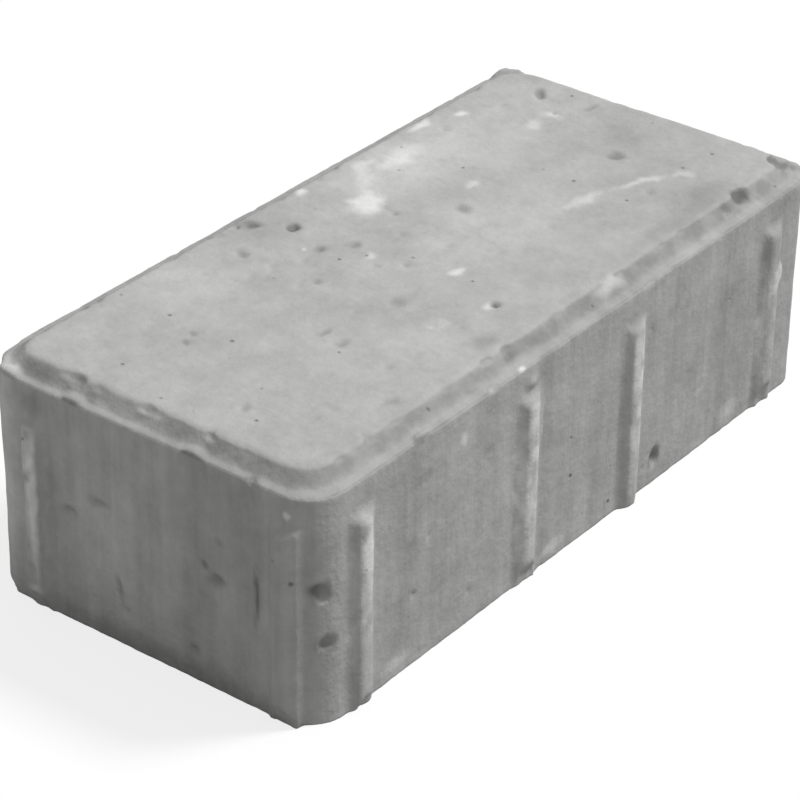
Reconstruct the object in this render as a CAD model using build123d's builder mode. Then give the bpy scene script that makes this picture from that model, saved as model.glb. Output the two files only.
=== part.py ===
"""Concrete paving stone: a pressed block with a chamfered top and upright ribs on its sides.

Millimetres. X runs along the length, Y across the width and Z up, with the bed at Z = 0.
The stone is one solid: its block, the crown on top of the block and the spacer ribs.
"""

import os
from math import atan2, degrees

from build123d import *

# Block, between its flat sides
block_length = 196.0
block_width = 94.0
stone_height = 60.0
block_corner_radius = 10.0

# Crown: the walking face, set back behind a narrow flat ledge and chamfered all round
ledge_width = 2.1
chamfer_depth = 3.3
chamfer_setback = 3.8
crown_corner_radius = 10.5

# Spacer ribs: they keep the joints between laid stones open, and run up from the bed.
# Those of each side are shifted along it, on opposite sides the same way as seen from
# outside, so that the ribs of two stones laid side by side pass each other
rib_reach = 2.0
rib_foot_width = 8.0
rib_crest_width = 3.6
rib_edge_radius = 1.0
rib_root = 1.5
rib_top_below_ledge = 7.5
long_side_inner_offset = 20.8
long_side_outer_offset = 80.2
long_side_shift = -2.6
short_side_offset = 34.8
short_side_shift = 3.7

# Sizes that follow from the ones above
block_height = stone_height - chamfer_depth
chamfer_slant = degrees(atan2(chamfer_setback, chamfer_depth))
rib_spread = (rib_foot_width - rib_crest_width) / 2 / rib_reach
rib_slant = degrees(atan2(rib_spread, 1))
rib_height = block_height - rib_top_below_ledge
root_width = rib_foot_width + 2 * rib_root * rib_spread
root_height = rib_height + rib_root * rib_spread
overrun = root_width

# The places of the ribs along each side, from its middle and seen from outside
long_side_places = [
    long_side_shift + offset
    for offset in (
        -long_side_outer_offset,
        -long_side_inner_offset,
        long_side_inner_offset,
        long_side_outer_offset,
    )
]
short_side_places = [short_side_shift - short_side_offset, short_side_shift + short_side_offset]

# The sides, each as the plane of its face with the places of its ribs
front = Plane(origin=(0, -block_width / 2, 0), x_dir=(1, 0, 0), z_dir=(0, -1, 0))
back = Plane(origin=(0, block_width / 2, 0), x_dir=(-1, 0, 0), z_dir=(0, 1, 0))
right = Plane(origin=(block_length / 2, 0, 0), x_dir=(0, 1, 0), z_dir=(1, 0, 0))
left = Plane(origin=(-block_length / 2, 0, 0), x_dir=(0, -1, 0), z_dir=(-1, 0, 0))
sides = [
    (front, long_side_places),
    (back, long_side_places),
    (right, short_side_places),
    (left, short_side_places),
]

with BuildPart() as paving_stone:
    # Block, up to the ledge
    with BuildSketch(Plane.XY):
        RectangleRounded(block_length, block_width, block_corner_radius)
    extrude(amount=block_height)

    # Crown, narrowing from the inside of the ledge to the walking face
    with BuildSketch(Plane.XY.offset(block_height)):
        RectangleRounded(
            block_length - 2 * ledge_width,
            block_width - 2 * ledge_width,
            crown_corner_radius,
        )
    extrude(amount=chamfer_depth, taper=chamfer_slant)

    # Ribs: each one is rooted inside the block, where a rib near a corner needs it, and
    # narrows outwards. It starts below the bed, so that its lower end is cut off square
    for side, places in sides:
        with BuildSketch(side.offset(-rib_root)):
            with Locations([(place, root_height) for place in places]):
                Rectangle(root_width, root_height + overrun, align=(Align.CENTER, Align.MAX))
        extrude(amount=rib_root + rib_reach, taper=rib_slant)
        outward = Axis(side.origin, side.z_dir)
        crests = paving_stone.faces().group_by(outward)[-1]
        fillet(crests.edges(), radius=rib_edge_radius)
    split(bisect_by=Plane.XY, keep=Keep.TOP)

paving_stone.part.label = "paving_stone"

os.makedirs("parts", exist_ok=True)
export_step(paving_stone.part, "parts/paving_stone.step")
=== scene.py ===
"""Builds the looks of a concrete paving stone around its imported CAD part.

Metres, in the CAD's frame: X along the stone, Y across it, Z up, with the bed at Z = 0.
Sizes in tables are millimetres. The front is the side that faces -Y, and the left end is
the one that faces -X.
"""

from math import atan, atan2, cos, degrees, pi, radians, sin, tan
from random import Random

import bmesh
import bpy
import numpy as np
from bpy.props import FloatProperty, FloatVectorProperty, IntProperty, PointerProperty
from mathutils import Matrix, Vector
from mathutils.noise import noise_vector, seed_set


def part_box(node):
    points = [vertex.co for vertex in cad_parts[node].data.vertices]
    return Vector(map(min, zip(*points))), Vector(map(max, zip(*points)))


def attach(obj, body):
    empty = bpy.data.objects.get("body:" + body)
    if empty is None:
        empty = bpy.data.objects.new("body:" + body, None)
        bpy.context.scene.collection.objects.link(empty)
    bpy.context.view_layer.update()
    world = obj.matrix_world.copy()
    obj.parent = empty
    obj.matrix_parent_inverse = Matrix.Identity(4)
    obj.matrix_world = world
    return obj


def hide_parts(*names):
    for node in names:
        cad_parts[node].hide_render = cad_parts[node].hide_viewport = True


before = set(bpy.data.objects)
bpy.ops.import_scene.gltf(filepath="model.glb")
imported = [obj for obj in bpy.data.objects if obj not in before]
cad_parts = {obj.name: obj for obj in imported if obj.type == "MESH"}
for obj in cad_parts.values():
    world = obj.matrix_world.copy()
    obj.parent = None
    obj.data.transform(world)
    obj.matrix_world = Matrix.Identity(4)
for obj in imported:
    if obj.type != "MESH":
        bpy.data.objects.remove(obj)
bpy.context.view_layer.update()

bl_info = {
    "name": "Concrete paving stone",
    "version": (1, 0, 0),
    "blender": (4, 5, 0),
    "location": "3D View > Sidebar > Paving stone",
    "description": "Models a weathered paving stone of pressed concrete and its studio",
    "category": "Add Mesh",
}

STONE_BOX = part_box("paving_stone")
MM = 0.001

# How far the parts reach below the bed before they are cut off there
OVERRUN = 1 * MM

# Points closer together than this are one point when a part is cut off
CUT_THRESHOLD = 0.001 * MM

# An edge or a face normal runs along an axis when this share of its length does
ALONG_AXIS = 0.9

# Faces across a rounded corner of the block, and across a rounded edge of a rib
CORNER_SEGMENTS = 14
RIB_SEGMENTS = 3

# Grids on which the parts are fused: a share of the finished mesh's, and that of the hollows
FUSING_SHARE = 0.7
HOLLOW_GRID = 0.4 * MM

# How far the points of lumps and hollows stray, as a share of the smallest half size
LUMP_ROUGHNESS = 0.2
HOLLOW_ROUGHNESS = 0.35

# Each lump and hollow draws a seed of its own, up to this one
LAST_SEED = 10000

# The floor's size in metres and the camera's sensor in millimetres
FLOOR_SIZE = 12
SENSOR_WIDTH = 36


def linear(code):
    """Turns an sRGB hex colour, such as #8c8c8a, into linear red, green and blue."""
    parts = [int(code[place:place + 2], 16) / 255 for place in (1, 3, 5)]
    return [part / 12.92 if part <= 0.04045 else ((part + 0.055) / 1.055) ** 2.4 for part in parts]


def length(name, description, millimetres):
    """Makes a length property whose default is in millimetres."""
    return FloatProperty(
        name=name, description=description, default=millimetres * MM, precision=4, unit="LENGTH"
    )


def colour(name, description, code):
    """Makes a colour property whose default is an sRGB hex value."""
    return FloatVectorProperty(
        name=name, description=description, default=linear(code), min=0, max=1, subtype="COLOR"
    )


class StoneSizes(bpy.types.PropertyGroup):
    """The stone's moulded shape."""

    corner_radius: length("Corner radius", "Radius of the block's upright corners", 10)
    ledge: length("Ledge", "Width of the flat ledge around the crown", 2.1)
    chamfer_depth: length("Chamfer depth", "Height of the chamfer above the ledge", 3.3)
    chamfer_setback: length("Chamfer setback", "How far the chamfer leans in", 3.8)
    crown_radius: length("Crown radius", "Corner radius at the foot of the chamfer", 10.5)
    rib_reach: length("Rib reach", "How far a spacer rib stands out", 2)
    rib_foot: length("Rib foot", "Width of a rib at the side of the block", 8)
    rib_crest: length("Rib crest", "Width of a rib at its crest", 3.6)
    rib_rounding: length("Rib rounding", "Edge radius of a rib's crest", 1)
    rib_drop: length("Rib drop", "From the ledge down to a rib's upper end", 7.5)
    inner_offset: length("Inner ribs", "Inner ribs of a long side, from its middle", 20.8)
    outer_offset: length("Outer ribs", "Outer ribs of a long side, from its middle", 80.2)
    long_shift: length("Rib shift", "Shift of a long side's ribs, seen from outside", -2.6)
    end_offset: length("End ribs", "Ribs of a short side, from its middle", 34.8)
    end_shift: length("End shift", "Shift of a short side's ribs, seen from outside", 3.7)


class StoneWear(bpy.types.PropertyGroup):
    """How the concrete has come out of the mould and worn."""

    grid: length("Grid", "Edge length of the finished mesh's faces", 0.78)
    seed: IntProperty(name="Seed", description="Start of every random choice", default=7, min=1)
    top_pits: IntProperty(name="Top pits", description="Pits in the walking face", default=46)
    side_pits: IntProperty(name="Side pits", description="Pits in the four sides", default=44)
    crown_chips: IntProperty(name="Crown chips", description="Chips on the crown's edges", default=170)
    ledge_chips: IntProperty(name="Ledge chips", description="Chips on the ledge's rim", default=90)
    foot_chips: IntProperty(name="Foot chips", description="Chips along the bed", default=90)
    wander: length("Wander", "How unevenly the faces lie", 0.45)
    grit: length("Grit", "Depth of the coarse grit", 0.13)
    drag: length("Drag", "Depth of the upright drag marks on the sides", 0.12)


class StoneFinish(bpy.types.PropertyGroup):
    """The colours of the concrete."""

    paste: colour("Cement paste", "Clean grey of the walking face and the sides", "#b4b4b3")
    chamfer: colour("Chamfer", "Rough, darker grey of the chamfer", "#9b9b9a")
    # The pale colour also serves as painted light on the -X flanks of the front ribs
    bloom_and_light: colour("Lime bloom", "Pale lime on the rib crests, rims and patches", "#e6e6e4")
    # The pore grey also serves as painted shade in pits, beside ribs and on the near corner
    pore_and_shade: colour("Pores", "Grey inside the pores and stains", "#6e6e6d")


class StudioSettings(bpy.types.PropertyGroup):
    """The camera, the lamp and the floor."""

    azimuth: FloatProperty(
        name="Azimuth", description="Turn of the camera about Z, from the front",
        default=radians(-53.31), subtype="ANGLE",
    )
    elevation: FloatProperty(
        name="Elevation", description="Height of the camera as an angle",
        default=radians(30.23), subtype="ANGLE",
    )
    roll: FloatProperty(
        name="Roll", description="Turn of the camera about its own axis",
        default=radians(1.06), subtype="ANGLE",
    )
    distance: length("Distance", "From the camera to the middle of the stone", 725.5)
    focal: FloatProperty(
        name="Focal length", description="Focal length on a 36 mm sensor",
        default=139.14, subtype="DISTANCE_CAMERA",
    )
    shift: FloatVectorProperty(
        name="Shift", description="Shift of the image, as a share of its width",
        default=(-0.0274, -0.0507), size=2,
    )
    key: FloatVectorProperty(
        name="Key light", description="Light of the lamp on faces that look along X, Y and Z",
        default=(0.36, -0.27, 0.65), size=3, subtype="DIRECTION",
    )
    key_size: FloatProperty(
        name="Key size", description="Width of the lamp as an angle, which softens shadows",
        default=radians(13), subtype="ANGLE",
    )
    fill: FloatProperty(name="Fill", description="Even light from all round", default=0.38, min=0)
    paper: colour("Paper", "Grey of the floor where it lights the stone", "#a0a0a0")
    shadow: FloatProperty(
        name="Shadow", description="How much of the floor's own shading the camera sees",
        default=0.22, min=0, max=1, subtype="FACTOR",
    )


def activate(piece):
    """Leaves one object selected and active."""
    bpy.ops.object.select_all(action="DESELECT")
    piece.select_set(True)
    bpy.context.view_layer.objects.active = piece


def add_box(name, low, high):
    """Adds a box between two corners, with its place in its mesh."""
    bpy.ops.object.select_all(action="DESELECT")
    low, high = Vector(low), Vector(high)
    bpy.ops.mesh.primitive_cube_add(size=1, location=(low + high) / 2, scale=high - low)
    piece = bpy.context.object
    piece.name = name
    bpy.ops.object.transform_apply(location=True, rotation=True, scale=True)
    return piece


def edit(piece, kind, wanted):
    """Enters edit mode with only the edges or faces that pass the test selected."""
    activate(piece)
    bpy.ops.object.mode_set(mode="EDIT")
    bpy.ops.mesh.select_mode(type=kind)
    bpy.ops.mesh.select_all(action="DESELECT")
    mesh = bmesh.from_edit_mesh(piece.data)
    for part in mesh.edges if kind == "EDGE" else mesh.faces:
        part.select_set(wanted(part))
    bmesh.update_edit_mesh(piece.data)


def leave_edit():
    """Goes back to object mode."""
    bpy.ops.object.mode_set(mode="OBJECT")


def cut_off(height):
    """Cuts off what is selected in edit mode below a height, and closes the cut flat."""
    bpy.ops.mesh.bisect(
        plane_co=(0, 0, height), plane_no=(0, 0, 1), clear_inner=True, threshold=CUT_THRESHOLD
    )
    bpy.ops.mesh.fill()


def join(pieces, name):
    """Joins objects into the first of them."""
    activate(pieces[0])
    for piece in pieces:
        piece.select_set(True)
    bpy.ops.object.join()
    pieces[0].name = name
    return pieces[0]


def modify(piece, kind, **settings):
    """Adds a modifier with its settings and applies it."""
    activate(piece)
    modifier = piece.modifiers.new(kind.lower(), kind)
    for name, value in settings.items():
        setattr(modifier, name, value)
    bpy.ops.object.modifier_apply(modifier=modifier.name)


def upright(edge):
    """Tells whether an edge of a box stands upright."""
    run = edge.verts[1].co - edge.verts[0].co
    return abs(run.z) > ALONG_AXIS * run.length


def add_rounded_box(name, half_length, half_width, low, high, radius):
    """Adds a box centred on Z with rounded upright edges."""
    corner = Vector((half_length, half_width, 0))
    piece = add_box(name, Vector((0, 0, low)) - corner, Vector((0, 0, high)) + corner)
    edit(piece, "EDGE", upright)
    bpy.ops.mesh.bevel(offset=radius, segments=CORNER_SEGMENTS, affect="EDGES")
    leave_edit()
    return piece


def add_crown(sizes, half_length, half_width, ledge_height):
    """Adds the crown, which is sunk into the block and chamfered up to the walking face."""
    sunk = 2 * sizes.chamfer_depth
    crown = add_rounded_box(
        "crown", half_length - sizes.ledge, half_width - sizes.ledge, ledge_height - sunk,
        ledge_height, sizes.crown_radius,
    )
    edit(crown, "FACE", lambda face: face.normal.z > ALONG_AXIS)
    bpy.ops.mesh.inset(thickness=sizes.chamfer_setback, depth=sizes.chamfer_depth)
    leave_edit()
    return crown


def add_rib(sizes, ledge_height):
    """Adds a spacer rib that looks along -Y from a side at Y = 0, ending below the bed."""
    half = sizes.rib_foot / 2
    narrowing = half - sizes.rib_crest / 2
    top = ledge_height - sizes.rib_drop
    rib = add_box("rib", (-half, 0, -sizes.rib_foot), (half, sizes.rib_reach, top))
    edit(rib, "FACE", lambda face: face.normal.y < -ALONG_AXIS)
    bpy.ops.mesh.inset(thickness=narrowing, depth=sizes.rib_reach)
    leave_edit()
    halfway = -sizes.rib_reach / 2
    edit(rib, "EDGE", lambda edge: all(point.co.y < halfway for point in edge.verts))
    setback = sizes.rib_rounding * tan(atan(sizes.rib_reach / narrowing) / 2)
    bpy.ops.mesh.bevel(offset=setback, segments=RIB_SEGMENTS, affect="EDGES")
    bpy.ops.mesh.select_all(action="SELECT")
    cut_off(-OVERRUN)
    leave_edit()
    return rib


def add_ribs(sizes, half_length, half_width, ledge_height):
    """Adds the ribs of all four sides, as copies of one."""
    pattern = add_rib(sizes, ledge_height)
    offsets = (-sizes.outer_offset, -sizes.inner_offset, sizes.inner_offset, sizes.outer_offset)
    long_places = [sizes.long_shift + offset for offset in offsets]
    end_places = [sizes.end_shift - sizes.end_offset, sizes.end_shift + sizes.end_offset]
    sides = [
        (0, half_width, long_places),
        (pi / 2, half_length, end_places),
        (pi, half_width, long_places),
        (-pi / 2, half_length, end_places),
    ]
    ribs = []
    for turn, reach, places in sides:
        for place in places:
            activate(pattern)
            bpy.ops.object.duplicate()
            rib = bpy.context.object
            rib.rotation_euler.z = turn
            rib.location = Matrix.Rotation(turn, 3, "Z") @ Vector((place, -reach, 0))
            bpy.ops.object.transform_apply(location=True, rotation=True, scale=True)
            ribs.append(rib)
    bpy.data.objects.remove(pattern)
    return ribs


# Marks given one by one, in millimetres: the place of the middle, the half sizes along
# X, Y and Z, and the turn about Z in degrees
HOLLOWS = [
    # Walking face
    ((-11.3, 29.6, 60), (2.3, 1.6, 1.4), 20),
    ((-16.6, 37.6, 60), (2.4, 1.4, 1.1), -40),
    ((-19.4, 40.2, 60), (1.8, 1.3, 1.0), 30),
    ((-9.6, 13.0, 60), (2.0, 1.6, 0.8), 40),
    ((-15.6, 18.2, 60), (1.8, 1.4, 0.8), 0),
    ((-67.4, 13.2, 60), (1.5, 1.1, 0.9), 30),
    ((-63.6, 15.0, 60), (1.4, 1.0, 0.7), 60),
    ((-28.6, 8.4, 60), (1.4, 1.3, 0.8), 0),
    ((-28.8, 30.2, 60), (2.2, 1.5, 0.7), 45),
    ((-29.2, 21.4, 60), (1.7, 1.4, 0.6), 0),
    ((20.8, 4.2, 60), (2.2, 3.2, 0.5), -30),
    ((66.8, -7.8, 60), (2.6, 3.1, 0.6), 35),
    ((83.6, 26.6, 60), (3.4, 1.7, 0.8), 35),
    ((85.4, 12.4, 60), (3.4, 1.5, 0.6), 0),
    ((-11.6, -29.0, 60), (1.5, 1.5, 1.1), 0),
    ((-24.6, -11.3, 60), (2.5, 2.4, 0.4), 0),
    ((-46.8, -13.0, 60), (2.6, 1.4, 0.5), 20),
    ((-45.0, -7.0, 60), (2.6, 1.2, 0.5), 0),
    ((-80.4, -14.0, 60), (2.0, 1.5, 0.5), 40),
    ((56.0, -25.0, 60), (2.0, 1.5, 0.7), 30),
    # Chamfer and ledge
    ((69.2, -42.4, 58.9), (3.4, 2.4, 1.6), 10),
    ((61.5, -43.0, 58.4), (2.2, 1.6, 1.2), 0),
    ((90.4, -39.6, 58.8), (3.0, 3.2, 1.7), 45),
    ((-25.6, -42.3, 60), (2.6, 2.0, 1.6), 30),
    ((-28.4, -44.2, 58.2), (3.0, 1.4, 1.2), 0),
    ((18.0, -42.0, 60), (3.0, 1.5, 1.0), 10),
    ((-93.4, 22.4, 59.8), (2.2, 3.0, 1.9), 0),
    ((-93.0, 2.6, 59.8), (1.8, 2.6, 1.4), 0),
    ((-94.4, -31.0, 59.2), (1.6, 2.2, 1.2), 0),
    ((-36.4, -46.4, 57.2), (2.2, 1.4, 1.6), 0),
    ((24.0, -47.0, 57.0), (3.4, 1.0, 1.4), 0),
    ((-97.8, -29.6, 56.8), (1.3, 1.6, 1.6), 0),
    # Front and left end
    ((29.8, -47.0, 6.9), (2.0, 1.7, 2.8), 0),
    ((-98.0, -20.4, 28.4), (1.0, 2.0, 1.7), 0),
    ((-98.0, -16.6, 30.8), (1.0, 1.2, 1.4), 0),
    ((-98.0, -20.9, 38.8), (0.8, 1.1, 1.0), 0),
    ((-98.0, 7.6, 14.4), (0.9, 0.9, 3.6), 0),
    ((-98.0, 5.6, 9.0), (1.0, 1.2, 1.8), 0),
    ((-98.0, -13.4, 7.6), (1.1, 1.8, 1.0), 0),
    ((-98.0, 21.6, 28.6), (0.7, 2.4, 1.5), 0),
    ((-98.0, 12.6, 34.2), (0.7, 2.8, 1.2), 0),
    # Near corner
    ((-94.2, -45.2, 34.2), (2.0, 2.0, 1.6), 0),
    ((-93.6, -45.6, 31.8), (1.7, 1.7, 1.2), 0),
    ((-92.8, -46.0, 20.4), (2.2, 1.9, 1.9), 0),
    # Feet of the ribs, which have crumbled
    ((-82.8, -49.6, 0), (5.0, 1.7, 3.4), 0),
    ((-23.4, -49.5, 0), (6.0, 2.2, 5.6), 0),
    ((22.0, -49.6, 0), (3.0, 2.0, 4.0), 0),
    ((77.6, -49.5, 0), (6.0, 2.2, 6.2), 0),
    ((-100.5, 31.1, 0), (2.2, 6.0, 5.0), 0),
    ((-100.4, -38.5, 0), (2.3, 6.2, 5.6), 0),
    ((82.8, 49.6, 0), (5.6, 1.8, 4.0), 0),
    ((23.4, 49.6, 0), (4.6, 1.6, 3.0), 0),
    ((-18.2, 49.5, 0), (6.0, 2.2, 5.0), 0),
    ((-77.6, 49.6, 0), (5.0, 1.9, 4.6), 0),
    ((100.5, -31.1, 0), (1.8, 5.0, 3.8), 0),
    ((100.5, 38.5, 0), (2.2, 6.0, 5.2), 0),
    # Broken foot of the left corner
    ((-98.6, 46.6, -2.0), (5.5, 8.0, 6.0), 0),
    ((-99.0, 36.0, -1.8), (2.2, 5.0, 3.0), 0),
    # Worn ledge behind the left corner
    ((-90.0, 48.6, 57.4), (9.0, 3.4, 2.2), 0),
    # Rubbed upright edges of the left and the right corner
    ((-94.4, 45.5, 30.0), (2.2, 6.0, 60.0), 126.7),
    ((94.7, -46.0, 30.0), (2.2, 6.0, 60.0), -53.3),
    # Rough right corner
    ((96.6, -43.6, 48.0), (2.6, 2.6, 3.0), 0),
    ((95.2, -45.4, 40.0), (2.2, 2.2, 2.4), 0),
    ((97.0, -42.4, 27.0), (2.2, 2.6, 3.2), 0),
]

# Lumps of paste that stand up where the mould or the press left them
LUMPS = [
    ((-22.4, -47.0, 51.6), (1.6, 0.9, 1.2), 0),
    ((79.4, -48.2, 35.8), (2.8, 0.8, 3.6), 0),
    ((-62.0, -46.6, 57.1), (2.4, 0.9, 0.6), 0),
    ((92.4, 44.2, 57.0), (3.6, 1.6, 1.9), -20),
    ((95.2, 42.2, 56.6), (1.4, 2.6, 1.6), 0),
    ((93.8, -41.0, 56.3), (2.1, 3.0, 2.1), 40),
    ((-96.4, 38.6, 57.0), (1.4, 2.6, 0.8), 0),
    ((-96.6, 20.0, 57.0), (1.2, 2.4, 0.7), 0),
    ((-96.6, -14.0, 57.0), (1.2, 2.8, 0.6), 0),
]

# Lime bloom, and painted light on the -X flanks of the front ribs, which face away from the lamp:
# middle, half sizes, turn about Z in degrees, and how strong it is
BLOOM_AND_LIGHT = [
    # Walking face: the pale patch, the streak and single spots
    ((8.6, 23.4, 60), (7.4, 4.8, 4), 20, 0.9),
    ((16.0, 30.0, 60), (9.0, 3.0, 4), 35, 0.3),
    ((34.0, 32.6, 60), (9.0, 4.6, 4), 15, 0.62),
    ((24.0, 36.4, 60), (6.0, 2.4, 4), 20, 0.45),
    ((3.8, 38.8, 60), (2.4, 1.6, 4), 20, 0.9),
    ((49.6, 39.6, 60), (4.6, 1.4, 4), 10, 0.8),
    ((62.0, 35.2, 60), (1.8, 1.6, 4), 0, 0.8),
    ((68.0, 17.6, 60), (3.4, 3.0, 4), 40, 0.5),
    ((75.0, 17.4, 60), (2.4, 4.6, 4), 0, 0.45),
    ((32.4, 10.0, 60), (3.0, 1.6, 4), 0, 0.45),
    ((-17.8, 21.4, 60), (1.5, 1.2, 4), 0, 0.6),
    ((-11.8, 6.8, 60), (2.6, 1.2, 4), 30, 0.55),
    ((-5.0, -13.0, 60), (3.2, 1.7, 4), 20, 0.75),
    ((-27.0, -24.4, 60), (3.2, 3.0, 4), 0, 0.45),
    ((-13.0, -28.4, 60), (2.0, 1.8, 4), 0, 0.6),
    ((43.0, -15.4, 60), (9.5, 2.0, 4), -8, 0.4),
    ((59.0, -20.4, 60), (8.0, 1.8, 4), -18, 0.6),
    ((68.6, -26.0, 60), (3.4, 1.6, 4), -50, 0.4),
    ((14.0, -43.0, 58.6), (6.0, 2.2, 2), 0, 0.75),
    ((-26.2, -46.8, 57.0), (1.5, 1.1, 1.3), 0, 1.0),
    # Walking face: wide pale clouds
    ((-48.0, 30.0, 60), (19.0, 17.0, 6), 0, 0.2),
    ((28.0, 30.0, 60), (32.0, 18.0, 6), 0, 0.26),
    ((18.0, -8.0, 60), (40.0, 16.0, 6), 0, 0.14),
    ((-34.0, -30.0, 60), (14.0, 12.0, 6), 20, 0.14),
    ((56.0, 26.0, 60), (38.0, 24.0, 6), 0, 0.14),
    # Front: lime, and painted light on the -X flanks of three ribs
    ((-47.4, -47.0, 49.0), (2.0, 2.0, 1.3), 0, 0.7),
    ((58.0, -47.0, 47.0), (14.0, 4.0, 9.0), 0, 0.16),
    # Painted light: the -X flanks of the ribs at X = -23.4, 77.6 and -82.8 mm are made paler to take
    # away their shade
    ((-26.4, -48.2, 24.0), (1.9, 2.0, 24.0), 0, 0.9),
    ((74.6, -48.2, 22.0), (1.9, 2.0, 22.0), 0, 0.9),
    ((-85.8, -48.2, 24.0), (1.9, 2.0, 24.0), 0, 0.35),
    ((18.6, -49.2, 26.0), (3.0, 2.0, 32.0), 0, -0.25),
    ((-82.2, -49.2, 40.0), (1.7, 2.2, 11.0), 0, 0.7),
    ((-18.4, -47.2, 41.0), (0.9, 1.6, 8.0), 0, 0.4),
    ((-70.0, -47.0, 3.4), (7.0, 3.0, 2.6), 0, 0.4),
    ((-12.0, -47.0, 2.4), (6.0, 3.0, 2.4), 0, 0.5),
    ((62.0, -47.0, 5.0), (5.0, 3.0, 2.8), 0, 0.35),
    ((47.6, -47.0, 17.4), (1.8, 3.0, 1.2), 0, 0.5),
    ((79.0, -49.0, 35.4), (3.0, 3.0, 4.0), 0, 0.8),
    # Left end: its right rib is hardly rubbed
    ((-98.0, -38.6, 51.6), (2.0, 1.1, 2.6), 0, 1.6),
    ((-100.0, -37.4, 8.0), (3.0, 1.4, 4.0), 0, 0.4),
    ((-100.0, 31.0, 4.6), (3.0, 3.6, 3.6), 0, 0.5),
    ((-100.5, 31.1, 30.0), (2.6, 4.6, 36.0), 0, -0.5),
    ((-100.0, 30.6, 26.0), (3.0, 1.5, 21.0), 0, 0.8),
    # The left end is made paler towards its corner at +Y
    ((-98.0, 14.0, 30.0), (8.0, 28.0, 34.0), 0, 0.22),
    ((-96.0, 41.0, 30.0), (8.0, 6.4, 44.0), 0, 0.75),
    ((-93.0, 46.5, 30.0), (6.0, 5.0, 44.0), 0, 0.4),
    ((-100.0, -39.5, 30.0), (6.0, 8.0, 60.0), 0, -0.9),
]

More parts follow.
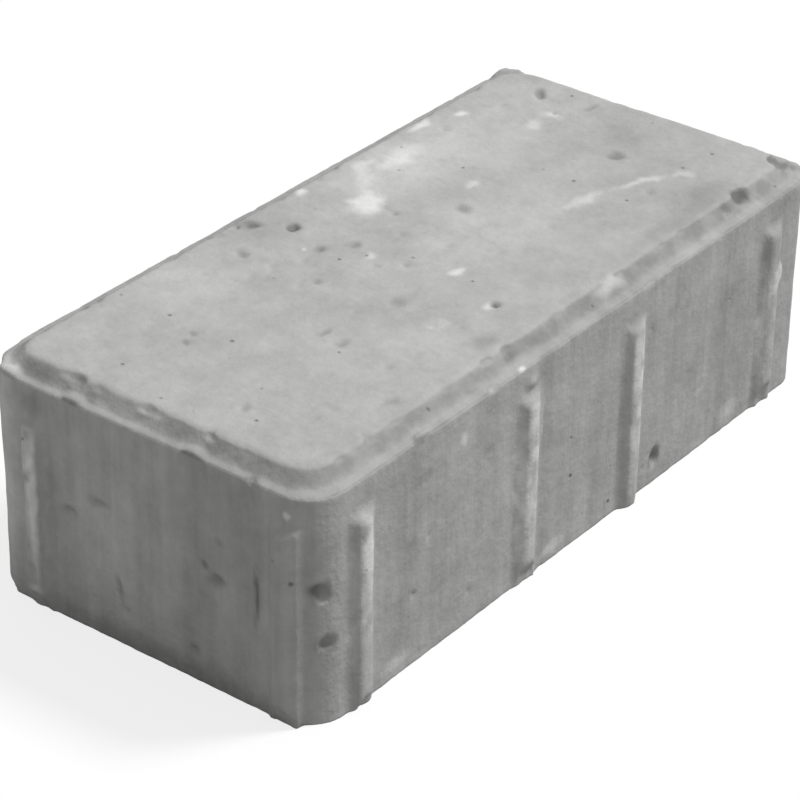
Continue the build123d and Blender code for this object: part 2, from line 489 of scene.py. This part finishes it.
# Dark marks, in the same form: stains, and painted shade in the deep pores and pits, beside ribs and
# on the near corner
STAINS_AND_SHADE = [
    # Walking face: painted shade in its pits, and stains
    ((-11.3, 29.6, 60), (2.7, 1.9, 4), 20, 0.9),
    ((-16.8, 38.0, 60), (3.6, 2.2, 4), -40, 0.5),
    ((-15.0, 32.0, 60), (10.0, 9.0, 6), 0, 0.18),
    ((-28.8, 30.2, 60), (2.6, 1.8, 4), 45, 0.4),
    ((-9.6, 13.0, 60), (2.5, 2.0, 4), 40, 0.4),
    ((-15.6, 18.2, 60), (2.2, 1.7, 4), 0, 0.4),
    ((-67.4, 13.2, 60), (1.7, 1.2, 4), 30, 0.5),
    ((-63.6, 15.0, 60), (1.6, 1.2, 4), 60, 0.4),
    ((-28.6, 8.4, 60), (1.6, 1.5, 4), 0, 0.4),
    ((20.8, 4.2, 60), (2.5, 3.5, 4), -30, 0.4),
    ((66.8, -7.8, 60), (2.9, 3.4, 4), 35, 0.45),
    ((83.6, 26.6, 60), (3.8, 1.9, 4), 35, 0.55),
    ((85.4, 12.4, 60), (3.8, 1.7, 4), 0, 0.35),
    ((-11.6, -29.0, 60), (1.5, 1.3, 4), 0, 0.8),
    ((-24.6, -11.3, 60), (2.8, 2.7, 4), 0, 0.35),
    ((-46.8, -13.0, 60), (2.9, 1.5, 4), 20, 0.35),
    ((-45.0, -7.0, 60), (2.9, 1.3, 4), 0, 0.35),
    ((-80.4, -14.0, 60), (2.2, 1.7, 4), 40, 0.25),
    ((76.0, -3.0, 60), (11.0, 8.0, 6), 0, 0.14),
    ((64.0, -36.0, 60), (13.0, 6.0, 6), 10, 0.28),
    ((44.0, -38.5, 60), (17.0, 4.6, 6), 0, 0.28),
    ((-59.0, -37.0, 60), (3.0, 2.0, 4), 0, 0.35),
    ((-26.0, -37.0, 60), (4.6, 3.4, 4), 0, 0.3),
    # Chamfer: painted shade in its pits, and stains
    ((69.2, -42.0, 58.8), (3.8, 2.8, 3), 10, 1.0),
    ((0.0, -43.0, 58.5), (94.0, 1.7, 1.7), 0, 0.14),
    ((90.0, -39.8, 58.8), (3.8, 3.8, 3), 45, 0.7),
    ((-26.0, -42.6, 59.0), (3.0, 2.0, 3), 30, 0.6),
    ((-93.6, 22.4, 59.4), (2.4, 3.2, 3), 0, 0.6),
    ((-94.0, 33.0, 58.2), (3.0, 6.0, 3), 0, 0.35),
    # Darker along the ledge of the left end
    ((-97.0, 0.0, 56.8), (1.4, 46.0, 1.4), 0, 0.2),
    ((-93.6, 2.6, 59.4), (2.0, 2.6, 3), 0, 0.5),
    # Front: painted shade in the deep pit, then stains
    ((29.8, -47.0, 6.9), (2.3, 3.0, 3.1), 0, 1.0),
    ((-61.0, -47.0, 46.0), (4.0, 3.0, 1.8), 0, 0.3),
    ((-65.0, -47.0, 32.0), (2.4, 3.0, 1.8), 20, 0.3),
    ((-38.0, -47.0, 42.0), (2.4, 3.0, 2.4), 0, 0.25),
    ((18.0, -47.0, 49.4), (4.6, 3.0, 2.2), 0, 0.35),
    ((33.8, -47.0, 44.6), (2.6, 3.0, 2.8), 0, 0.25),
    ((43.0, -47.0, 23.0), (6.0, 3.0, 5.0), 0, 0.15),
    ((64.0, -47.0, 28.0), (16.0, 3.0, 26.0), 0, 0.07),
    # Painted shadow on the side beside the -X foot of the rib at X = 18.2 mm
    ((13.0, -47.6, 26.0), (1.6, 2.0, 26.0), 0, 0.25),
    # Near corner: painted shade on the rounded upright corner, which turns away from the lamp, and in
    # two pits
    # Painted shade on the rounded upright corner
    ((-97.0, -43.4, 28.0), (4.0, 2.2, 30.0), 0, 0.22),
    ((-94.2, -45.2, 34.0), (3.6, 3.6, 2.8), 0, 0.8),
    ((-92.8, -46.0, 20.2), (3.6, 3.6, 3.2), 0, 0.65),
    # Left end: painted shade in its pits, painted shadows beside its ribs, a stain, and a band that is
    # darker towards the bottom
    ((-98.0, -20.4, 28.4), (3.0, 2.6, 1.9), 0, 0.5),
    ((-98.0, -16.6, 30.8), (3.0, 1.5, 1.4), 0, 0.5),
    ((-98.0, -20.9, 38.8), (3.0, 1.4, 1.2), 0, 0.4),
    ((-98.0, 12.6, 34.2), (3.0, 3.4, 1.8), 0, 0.4),
    ((-98.0, 21.6, 28.6), (3.0, 3.2, 2.0), 0, 0.3),
    ((-98.0, 7.6, 14.4), (3.0, 1.2, 4.4), 0, 0.5),
    ((-98.0, -13.4, 7.6), (3.0, 2.2, 1.3), 0, 0.4),
    # Painted shadows on the side beside the ribs at Y = -38.5 and 31.1 mm
    ((-98.0, -31.6, 29.0), (3.0, 1.0, 9.0), 0, 0.8),
    ((-98.0, 26.6, 30.0), (3.0, 1.7, 26.0), 0, 0.25),
    ((-98.0, 31.0, 52.0), (3.0, 4.0, 3.0), 0, 0.25),
    # Darker towards the bottom
    ((-98.0, -4.0, 0.0), (8.0, 48.0, 6.5), 0, 0.5),
]


def add_lumps(name, marks, roughness, chance):
    """Adds rough rounded lumps as one mesh. A mark is its middle, half sizes and turn."""
    bpy.ops.object.select_all(action="DESELECT")
    mesh = bpy.data.meshes.new(name)
    lumps = bpy.data.objects.new(name, mesh)
    bpy.context.scene.collection.objects.link(lumps)
    activate(lumps)
    bpy.ops.object.mode_set(mode="EDIT")
    for middle, halves, turn in marks:
        bpy.ops.mesh.select_all(action="DESELECT")
        bpy.ops.mesh.primitive_ico_sphere_add(
            subdivisions=2, radius=1, location=Vector(middle) * MM,
            rotation=(0, 0, radians(turn)), scale=Vector(halves) * MM,
        )
        bpy.ops.transform.vertex_random(
            offset=roughness * min(halves) * MM, seed=chance.randrange(1, LAST_SEED)
        )
    leave_edit()
    return lumps


def outline_point(half_length, half_width, radius, share):
    """Gives the point at a share of the way round a rounded rectangle, and the way out."""
    straight_x = 2 * (half_length - radius)
    straight_y = 2 * (half_width - radius)
    bend = pi / 2 * radius
    way = share * 2 * (straight_x + straight_y + 2 * bend)
    turn = -pi / 2
    corner = Vector((-half_length + radius, -half_width + radius))
    for straight in (straight_x, straight_y, straight_x, straight_y):
        along = Vector((-sin(turn), cos(turn)))
        out = Vector((cos(turn), sin(turn)))
        if way <= straight:
            return corner + radius * out + way * along, out
        way -= straight
        corner = corner + straight * along
        if way <= bend:
            angle = turn + way / radius
            out = Vector((cos(angle), sin(angle)))
            return corner + radius * out, out
        way -= bend
        turn += pi / 2
    return corner + radius * out, out


# Ranges from which scattered chips and pits are drawn. Sizes, depths and heights are in
# millimetres, turns in degrees, and all others are shares of the size
CROWN_CHIP_SIZE = (0.4, 1.3)
RIM_CHIP_SIZE = (0.4, 1.0)
CHIP_HALVES = ((0.6, 1.0), (0.9, 2.4), (0.5, 0.9))
CHIP_OUTWARDS = (0.1, 0.6)
CHIP_UPWARDS = (-0.5, 0.5)
CHIP_TURN = (-25, 25)
TOP_PIT_SIZE = (0.9, 1.9)
TOP_PIT_WIDTH = (0.6, 1)
TOP_PIT_DEPTH = (0.4, 0.9)
TOP_PIT_TURN = (0, 180)
SIDE_PIT_SIZE = (0.6, 1.4)
SIDE_PIT_HEIGHT = (3, 54)
SIDE_PIT_LENGTH = (0.7, 1.6)
SIDE_PIT_WIDTH = 0.8


def scatter_on_outline(chance, count, outline, height, span):
    """Scatters chips along an edge, longer along it than across.

    The outline and the height are in metres, the span of sizes and the marks in millimetres.
    """
    marks = []
    for _ in range(count):
        point, out = outline_point(*outline, chance.random())
        size = chance.uniform(*span)
        place = point + out * chance.uniform(*CHIP_OUTWARDS) * size * MM
        height_above_bed = height / MM + chance.uniform(*CHIP_UPWARDS) * size
        halves = [size * chance.uniform(*shares) for shares in CHIP_HALVES]
        turn = degrees(atan2(out.y, out.x)) + chance.uniform(*CHIP_TURN)
        marks.append(((place.x / MM, place.y / MM, height_above_bed), halves, turn))
    return marks


def scatter_marks(wear, sizes, half_length, half_width, ledge_height, top_height):
    """Scatters the chips and pits that weren't chosen by eye."""
    chance = Random(wear.seed)
    setback = sizes.chamfer_setback
    crown = [half - sizes.ledge - setback for half in (half_length, half_width)]
    crown.append(sizes.crown_radius - setback)
    block = (half_length, half_width, sizes.corner_radius)
    marks = scatter_on_outline(chance, wear.crown_chips, crown, top_height, CROWN_CHIP_SIZE)
    marks += scatter_on_outline(chance, wear.ledge_chips, block, ledge_height, RIM_CHIP_SIZE)
    marks += scatter_on_outline(chance, wear.foot_chips, block, 0, RIM_CHIP_SIZE)
    for _ in range(wear.top_pits):
        size = chance.uniform(*TOP_PIT_SIZE)
        place = Vector([chance.uniform(-1, 1) * half for half in crown[:2]])
        halves = (size, size * chance.uniform(*TOP_PIT_WIDTH), chance.uniform(*TOP_PIT_DEPTH))
        turn = chance.uniform(*TOP_PIT_TURN)
        marks.append(((place.x / MM, place.y / MM, top_height / MM), halves, turn))
    for _ in range(wear.side_pits):
        place, out = outline_point(*block, chance.random())
        size = chance.uniform(*SIDE_PIT_SIZE)
        middle = (place.x / MM, place.y / MM, chance.uniform(*SIDE_PIT_HEIGHT))
        width = SIDE_PIT_WIDTH * size
        marks.append((middle, (width, width, size * chance.uniform(*SIDE_PIT_LENGTH)), 0))
    return marks


def weigh(piece, name, weight):
    """Adds a vertex group whose weights, in tenths, come from a function of each vertex."""
    group = piece.vertex_groups.new(name=name)
    tenths = {}
    for vertex in piece.data.vertices:
        tenths.setdefault(round(weight(vertex) * 10), []).append(vertex.index)
    for tenth, members in tenths.items():
        group.add(members, tenth / 10, "REPLACE")


def ramp(value, start, end):
    """Rises from 0 to 1 as the value goes from start to end."""
    return min(max((value - start) / (end - start), 0), 1)


# Relief of the faces, in the order in which it is added: the width of its lumps in
# millimetres, its detail, the level that stays in place, the setting that holds its depth, and
# the vertex group that it reaches
RELIEF = {
    "wander": (12, 3, 0.6, "wander", "off_bed"),
    "grit": (1.7, 2, 0.6, "grit", "gritty"),
    "drag": (1.6, 2, 0.6, "drag", "sides"),
    "crumble": (3.5, 3, 0.5, "wander", "foot"),
}

# How much longer than wide the drag marks are, and the share of the grit that the sides get
DRAG_STRETCH = 14
SIDE_GRIT = 0.45


def roughen(piece, wear, ledge_height):
    """Gives the faces their unevenness, grit, drag marks and crumbled foot, mostly inwards."""
    # Relief fades out at the bed, grit is weaker below the ledge, drag marks fade out as faces
    # turn level, and only the foot crumbles
    bed_edge = 1 * MM
    rim = 1 * MM
    foot = 5 * MM
    weigh(piece, "off_bed", lambda vertex: ramp(vertex.co.z, 0.2 * bed_edge, bed_edge))
    weigh(piece, "gritty", lambda vertex: (
        SIDE_GRIT + (1 - SIDE_GRIT) * ramp(vertex.co.z, ledge_height - rim, ledge_height)
    ))
    weigh(piece, "sides", lambda vertex: 1 - ramp(abs(vertex.normal.z), 0.3, 0.7))
    weigh(piece, "foot", lambda vertex: 1 - ramp(vertex.co.z, bed_edge, foot))

    # The mould drags upright marks down the sides, so their pattern is stretched along Z
    bpy.ops.object.empty_add(location=(0, 0, 0))
    stretched = bpy.context.object
    stretched.scale = (1, 1, DRAG_STRETCH)
    bpy.context.view_layer.update()
    for name, (width, detail, level, depth, group) in RELIEF.items():
        texture = bpy.data.textures.new(name, "CLOUDS")
        texture.noise_scale = width * MM
        texture.noise_depth = detail
        modify(
            piece, "DISPLACE", texture=texture, mid_level=level, strength=getattr(wear, depth),
            vertex_group=group, texture_coords="OBJECT" if name == "drag" else "LOCAL",
            texture_coords_object=stretched if name == "drag" else None,
        )
    bpy.data.objects.remove(stretched)
    piece.vertex_groups.clear()


def keep_in_box(piece, low, high):
    """Moves vertices that left the CAD box back to its faces."""
    for vertex in piece.data.vertices:
        vertex.co = [min(max(at, start), end) for at, start, end in zip(vertex.co, low, high)]


# Widths in millimetres of the waves that make the edges of painted marks ragged, and how far,
# in millimetres too, the widest of them moves an edge
WAVES = (5, 2)
LIME_AND_LIGHT_RAGGEDNESS = 1.6
STAIN_AND_SHADE_RAGGEDNESS = 1.2

# A mark fades out over one half size, and is gone at this many half sizes from its middle
MARK_REACH = 1.2


def paint(piece, name, marks, raggedness):
    """Stores how strongly marks cover each vertex, with edges made ragged by a noise.

    A mark is its middle, half sizes, turn about Z and strength.
    """
    count = len(piece.data.vertices)
    places = np.empty(3 * count)
    piece.data.vertices.foreach_get("co", places)
    places = places.reshape(count, 3) / MM
    for wave in WAVES:
        moves = np.array([noise_vector(Vector(place) / wave) for place in places])
        places += raggedness * wave / WAVES[0] * moves
    total = np.zeros(count)
    for middle, halves, turn, strength in marks:
        along = Matrix.Rotation(radians(turn), 3, "Z")
        away = np.linalg.norm((places - middle) @ np.array(along) / halves, axis=1)
        cover = np.clip(MARK_REACH - away, 0, 1)
        total += strength * cover * cover * (3 - 2 * cover)
    attribute = piece.data.attributes.new(name, "FLOAT", "POINT")
    attribute.data.foreach_set("value", total)


def add_node(tree, kind, inputs=None, **settings):
    """Adds a node with its settings, and fills its inputs.

    An input is a value, the output of another node, or a node that gives its first output.
    """
    node = tree.nodes.new(kind)
    for name, value in settings.items():
        setattr(node, name, value)
    for name, value in (inputs or {}).items():
        if isinstance(value, bpy.types.Node):
            value = value.outputs[0]
        if isinstance(value, bpy.types.NodeSocket):
            tree.links.new(value, node.inputs[name])
        else:
            node.inputs[name].default_value = value
    return node


# Patterns of the concrete: the width of their lumps in millimetres, their detail and roughness,
# and whether the mould has drawn them out upright
PATTERNS = {
    "clouds": (26, 3, 0.55, False),
    "patches": (7, 3, 0.6, False),
    "breaks": (5, 1, 0.5, False),
    "speckle": (1.6, 2, 0.6, False),
    "grain": (0.7, 2, 0.6, False),
    "drags": (2.4, 3, 0.65, True),
    "smears": (9, 2, 0.5, True),
}

# How much the patterns that are drawn out repeat along Z, as a share of the others
DRAWN_OUT = 0.07

# Pinholes: the width in millimetres of the cells that may hold one, how its edge fades as a
# share of that width, and how dark it is
PINHOLE_CELL = 5.5
PINHOLE_EDGE = (-0.03, 0.09)
PINHOLE_DARKNESS = 0.8

# Levels that are a product of others: the chamfer's own grey, the lime on the crests of the
# ribs, and the drag marks of the sides
PRODUCTS = {
    "chamfered": ("above_ledge", "below_top", "slanting", "blotched"),
    "rubbed": ("crest", "above_foot", "below_tip", "broken", "streaked"),
    "side_drags": ("drags", "below_ledge"),
}

# How much each pattern lightens and darkens the whole stone, and its sides
SWINGS = {"clouds": 0.3, "patches": 0.4, "speckle": 0.14}
SIDE_SWINGS = {"drags": 0.32, "smears": 0.45}

# How high each pattern stands, in millimetres
HEIGHTS = {"speckle": 0.16, "grain": 0.03, "patches": 0.3, "pinholes": -0.25, "side_drags": 0.08}


def concrete(finish, half_length, half_width, ledge_height, top_height):
    """Pressed concrete: dry cement paste and fine aggregate, vibrated in a steel mould.

    It gives the eye a dull, open-pored grey with faint clouds, fine speckle, pinholes, upright
    drag marks on the sides, a rough darker chamfer, pale lime where edges were rubbed, and the
    painted light and painted shade of the marks stored on the mesh.
    """
    material = bpy.data.materials.new("pressed_concrete")
    material.use_nodes = True
    tree = material.node_tree
    tree.nodes.clear()
    place = add_node(tree, "ShaderNodeTexCoord").outputs["Object"]
    along = add_node(tree, "ShaderNodeSeparateXYZ", {0: place}).outputs
    normal = add_node(tree, "ShaderNodeNewGeometry").outputs["Normal"]
    facing = add_node(tree, "ShaderNodeSeparateXYZ", {0: normal}).outputs

    # Patterns
    levels = {}
    drawn = add_node(tree, "ShaderNodeMapping", {"Vector": place, "Scale": (1, 1, DRAWN_OUT)})
    for name, (width, detail, roughness, is_drawn) in PATTERNS.items():
        inputs = {
            "Vector": drawn if is_drawn else place, "Scale": 1 / (width * MM), "Detail": detail,
            "Roughness": roughness,
        }
        levels[name] = add_node(tree, "ShaderNodeTexNoise", inputs)

    # How far a point stands out from the flat sides of the block
    outside = []
    for axis, half in (("X", half_length), ("Y", half_width)):
        away = add_node(tree, "ShaderNodeMath", {0: along[axis]}, operation="ABSOLUTE")
        outside.append(add_node(tree, "ShaderNodeMath", {0: away, 1: half}, operation="SUBTRACT"))
    reach = add_node(tree, "ShaderNodeMath", dict(enumerate(outside)), operation="MAXIMUM")

    # Cells of the pinholes: only some of them hold one, and its size changes from cell to cell
    inputs = {"Vector": place, "Scale": 1 / (PINHOLE_CELL * MM), "Randomness": 1.0}
    cells = add_node(tree, "ShaderNodeTexVoronoi", inputs)
    chance = add_node(tree, "ShaderNodeSeparateColor", {0: cells.outputs["Color"]})

    # Causes: each goes smoothly, while a measure goes from its start to its end, from one
    # level to another
    height = along["Z"]
    causes = {
        "above_ledge": (height, ledge_height - 0.7 * MM, ledge_height - 0.2 * MM, 0, 1),
        "below_ledge": (height, ledge_height - 0.7 * MM, ledge_height - 0.2 * MM, 1, 0),
        "below_top": (height, top_height - 0.6 * MM, top_height - 0.2 * MM, 1, 0),
        "slanting": (facing["Z"], 0.75, 0.95, 1, 0.4),
        "blotched": (levels["patches"], 0.35, 0.6, 1.15, 0.75),
        "crest": (reach, 1.3 * MM, 1.95 * MM, 0, 1),
        "above_foot": (height, 5 * MM, 30 * MM, 0.35, 1),
        "below_tip": (height, 42 * MM, 50 * MM, 0.9, 0.4),
        "broken": (levels["breaks"], 0.3, 0.6, 0.3, 1),
        "streaked": (levels["smears"], 0.35, 0.6, 0.55, 1),
        "pinhole_size": (chance, 0.6, 1, 0, 0.12),
    }
    for name, inputs in causes.items():
        levels[name] = add_node(
            tree, "ShaderNodeMapRange", dict(enumerate(inputs)), interpolation_type="SMOOTHSTEP"
        )
    for name, (first, *others) in PRODUCTS.items():
        levels[name] = levels[first]
        for other in others:
            inputs = {0: levels[name], 1: levels[other]}
            levels[name] = add_node(tree, "ShaderNodeMath", inputs, operation="MULTIPLY")
    inputs = {0: levels["pinhole_size"], 1: cells.outputs["Distance"]}
    inside = add_node(tree, "ShaderNodeMath", inputs, operation="SUBTRACT")
    inputs = dict(enumerate((inside, *PINHOLE_EDGE)))
    levels["pinholes"] = add_node(
        tree, "ShaderNodeMapRange", inputs, interpolation_type="SMOOTHSTEP"
    )

    # Marks painted on the mesh: lime and painted light add to what is rubbed, and stains and
    # painted shade add to the pinholes
    lime_and_light = add_node(tree, "ShaderNodeAttribute", attribute_name="lime_and_light").outputs["Fac"]
    bloom_and_light = add_node(
        tree, "ShaderNodeMath", {0: levels["rubbed"], 1: lime_and_light}, operation="ADD", use_clamp=True
    )
    stain_and_shade = add_node(tree, "ShaderNodeAttribute", attribute_name="stain_and_shade").outputs["Fac"]
    inputs = {0: levels["pinholes"], 1: PINHOLE_DARKNESS, 2: stain_and_shade}
    dark = add_node(tree, "ShaderNodeMath", inputs, operation="MULTIPLY_ADD", use_clamp=True)

    # Colours, laid over each other
    shade = (*finish.paste, 1)
    # The pale layer also holds painted light, and the dark layer painted shade
    layers = ((levels["chamfered"], finish.chamfer), (bloom_and_light, finish.bloom_and_light), (dark, finish.pore_and_shade))
    for cover, over in layers:
        inputs = {0: cover, 6: shade, 7: (*over, 1)}
        shade = add_node(tree, "ShaderNodeMix", inputs, data_type="RGBA").outputs[2]

    # Light and dark: a pattern swings the tone about its middle level, which is a half
    tones = []
    for middle, swings in ((1, SWINGS), (0, SIDE_SWINGS)):
        tone = middle - sum(swings.values()) / 2
        for name, swing in swings.items():
            inputs = {0: levels[name], 1: swing, 2: tone}
            tone = add_node(tree, "ShaderNodeMath", inputs, operation="MULTIPLY_ADD")
        tones.append(tone)
    inputs = {0: tones[1], 1: levels["below_ledge"], 2: tones[0]}
    tone = add_node(tree, "ShaderNodeMath", inputs, operation="MULTIPLY_ADD")
    toned = add_node(tree, "ShaderNodeVectorMath", {0: shade, "Scale": tone}, operation="SCALE")

    # Fine relief
    relief = 0
    for name, rise in HEIGHTS.items():
        inputs = {0: levels[name], 1: rise, 2: relief}
        relief = add_node(tree, "ShaderNodeMath", inputs, operation="MULTIPLY_ADD")
    inputs = {"Height": relief, "Strength": 1.0, "Distance": MM}
    bump = add_node(tree, "ShaderNodeBump", inputs)
    inputs = {
        "Base Color": toned, "Roughness": 0.92, "IOR": 1.5, "Specular IOR Level": 0.25,
        "Normal": bump,
    }
    shader = add_node(tree, "ShaderNodeBsdfPrincipled", inputs)
    add_node(tree, "ShaderNodeOutputMaterial", {"Surface": shader})
    return material


class PAVER_OT_stone(bpy.types.Operator):
    """Model the pressed stone with its ribs, chips and pits, and give it its concrete"""

    bl_idname = "paver.stone"
    bl_label = "Add stone"

    def execute(self, context):
        sizes = context.scene.paver_sizes
        wear = context.scene.paver_wear
        low, high = STONE_BOX
        half_length = high[0] - sizes.rib_reach
        half_width = high[1] - sizes.rib_reach
        top_height = high[2]
        ledge_height = top_height - sizes.chamfer_depth
        block = add_rounded_box(
            "block", half_length, half_width, -OVERRUN, ledge_height, sizes.corner_radius
        )
        crown = add_crown(sizes, half_length, half_width, ledge_height)
        ribs = add_ribs(sizes, half_length, half_width, ledge_height)
        chance = Random(wear.seed + 1)
        lumps = add_lumps("lumps", LUMPS, LUMP_ROUGHNESS, chance)
        stone = join([block, crown, *ribs, lumps], "pressed_stone")
        modify(stone, "REMESH", mode="VOXEL", voxel_size=FUSING_SHARE * wear.grid)
        scattered = scatter_marks(wear, sizes, half_length, half_width, ledge_height, top_height)
        hollows = add_lumps("hollows", HOLLOWS + scattered, HOLLOW_ROUGHNESS, chance)
        modify(hollows, "REMESH", mode="VOXEL", voxel_size=HOLLOW_GRID)
        modify(stone, "BOOLEAN", operation="DIFFERENCE", solver="MANIFOLD", object=hollows)
        bpy.data.objects.remove(hollows)
        modify(stone, "REMESH", mode="VOXEL", voxel_size=wear.grid)
        roughen(stone, wear, ledge_height)
        edit(stone, "FACE", lambda face: True)
        cut_off(0)
        leave_edit()
        keep_in_box(stone, low, high)
        activate(stone)
        bpy.ops.object.shade_smooth()
        # Without a seed the noise starts from the clock, and each run would look different
        seed_set(wear.seed)
        # The lime marks also hold painted light on rib flanks, and the stain marks painted shade in
        # pits, beside ribs and on a corner
        paint(stone, "lime_and_light", BLOOM_AND_LIGHT, LIME_AND_LIGHT_RAGGEDNESS)
        paint(stone, "stain_and_shade", STAINS_AND_SHADE, STAIN_AND_SHADE_RAGGEDNESS)
        stone.data.materials.clear()
        finish = context.scene.paver_finish
        stone.data.materials.append(
            concrete(finish, half_length, half_width, ledge_height, top_height)
        )
        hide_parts("paving_stone")
        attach(stone, "root")
        return {"FINISHED"}


def floor_material(studio):
    """Matt white paper: it keeps a faint shadow and throws back only a little light."""
    material = bpy.data.materials.new("white_paper")
    material.use_nodes = True
    tree = material.node_tree
    tree.nodes.clear()
    matt = add_node(tree, "ShaderNodeBsdfDiffuse", {"Color": (*studio.paper, 1)})
    white = add_node(tree, "ShaderNodeBsdfDiffuse", {"Color": (1, 1, 1, 1)})
    glow = add_node(tree, "ShaderNodeEmission", {"Color": (1, 1, 1, 1), "Strength": 1.0})
    seen = add_node(tree, "ShaderNodeMixShader", {0: studio.shadow, 1: glow, 2: white})
    path = add_node(tree, "ShaderNodeLightPath").outputs
    direct = path["Is Camera Ray"]
    for other in ("Is Glossy Ray", "Is Transmission Ray"):
        direct = add_node(tree, "ShaderNodeMath", {0: direct, 1: path[other]}, operation="MAXIMUM")
    shown = add_node(tree, "ShaderNodeMixShader", {0: direct, 1: matt, 2: seen})
    add_node(tree, "ShaderNodeOutputMaterial", {"Surface": shown})
    return material


class PAVER_OT_studio(bpy.types.Operator):
    """Set up the floor, the soft lamp, the even fill and the camera"""

    bl_idname = "paver.studio"
    bl_label = "Add studio"

    def execute(self, context):
        studio = context.scene.paver_studio
        bpy.ops.object.select_all(action="DESELECT")
        bpy.ops.mesh.primitive_plane_add(size=FLOOR_SIZE, location=(0, 0, 0))
        floor = context.object
        floor.name = "floor"
        floor.data.materials.append(floor_material(studio))

        # The lamp shines from where the key light's three parts point
        key = Vector(studio.key)
        lamp = bpy.data.lights.new("key", "SUN")
        lamp.energy = key.length * pi
        lamp.angle = studio.key_size
        lamp_object = bpy.data.objects.new("key", lamp)
        lamp_object.rotation_euler = key.to_track_quat("Z", "Y").to_euler()
        context.scene.collection.objects.link(lamp_object)

        world = bpy.data.worlds.new("studio")
        context.scene.world = world
        world.use_nodes = True
        tree = world.node_tree
        tree.nodes.clear()
        white = (1, 1, 1, 1)
        fill = add_node(tree, "ShaderNodeBackground", {"Color": white, "Strength": studio.fill})
        backdrop = add_node(tree, "ShaderNodeBackground", {"Color": white, "Strength": 1.0})
        seen = add_node(tree, "ShaderNodeLightPath").outputs["Is Camera Ray"]
        shown = add_node(tree, "ShaderNodeMixShader", {0: seen, 1: fill, 2: backdrop})
        add_node(tree, "ShaderNodeOutputWorld", {"Surface": shown})

        # The camera looks at the middle of the stone, and is then rolled
        azimuth, elevation, roll = studio.azimuth, studio.elevation, studio.roll
        back = Vector(
            (sin(azimuth) * cos(elevation), -cos(azimuth) * cos(elevation), sin(elevation))
        )
        right = Vector((cos(azimuth), sin(azimuth), 0))
        up = back.cross(right)
        rolled_right = cos(roll) * right + sin(roll) * up
        rolled_up = cos(roll) * up - sin(roll) * right
        middle = Vector((0, 0, STONE_BOX[1][2] / 2))
        lens = bpy.data.cameras.new("camera")
        lens.sensor_width = SENSOR_WIDTH
        lens.lens = studio.focal
        lens.shift_x, lens.shift_y = studio.shift
        camera = bpy.data.objects.new("camera", lens)
        turn = Matrix((rolled_right, rolled_up, back)).transposed().to_4x4()
        camera.matrix_world = Matrix.Translation(middle + studio.distance * back) @ turn
        context.scene.collection.objects.link(camera)
        context.scene.camera = camera
        context.scene.view_settings.view_transform = "Standard"
        return {"FINISHED"}


class PAVER_PT_panel(bpy.types.Panel):
    """Lists the stone's and the studio's operators and settings"""

    bl_label = "Paving stone"
    bl_idname = "PAVER_PT_panel"
    bl_space_type = "VIEW_3D"
    bl_region_type = "UI"
    bl_category = "Paving stone"

    def draw(self, context):
        for operator in ("paver.stone", "paver.studio"):
            self.layout.operator(operator)
        for group in GROUPS:
            settings = getattr(context.scene, group)
            for name in settings.bl_rna.properties.keys():
                if name not in ("rna_type", "name"):
                    self.layout.prop(settings, name)


GROUPS = {
    "paver_sizes": StoneSizes,
    "paver_wear": StoneWear,
    "paver_finish": StoneFinish,
    "paver_studio": StudioSettings,
}
CLASSES = (*GROUPS.values(), PAVER_OT_stone, PAVER_OT_studio, PAVER_PT_panel)


def register():
    """Registers the classes, and gives the scene its groups of settings."""
    for entry in CLASSES:
        bpy.utils.register_class(entry)
    for name, group in GROUPS.items():
        setattr(bpy.types.Scene, name, PointerProperty(type=group))


def unregister():
    """Takes the settings and the classes away again."""
    for name in GROUPS:
        delattr(bpy.types.Scene, name)
    for entry in reversed(CLASSES):
        bpy.utils.unregister_class(entry)


def main():
    """Builds the stone and its studio."""
    register()
    bpy.ops.paver.stone()
    bpy.ops.paver.studio()


if __name__ == "__main__":
    main()
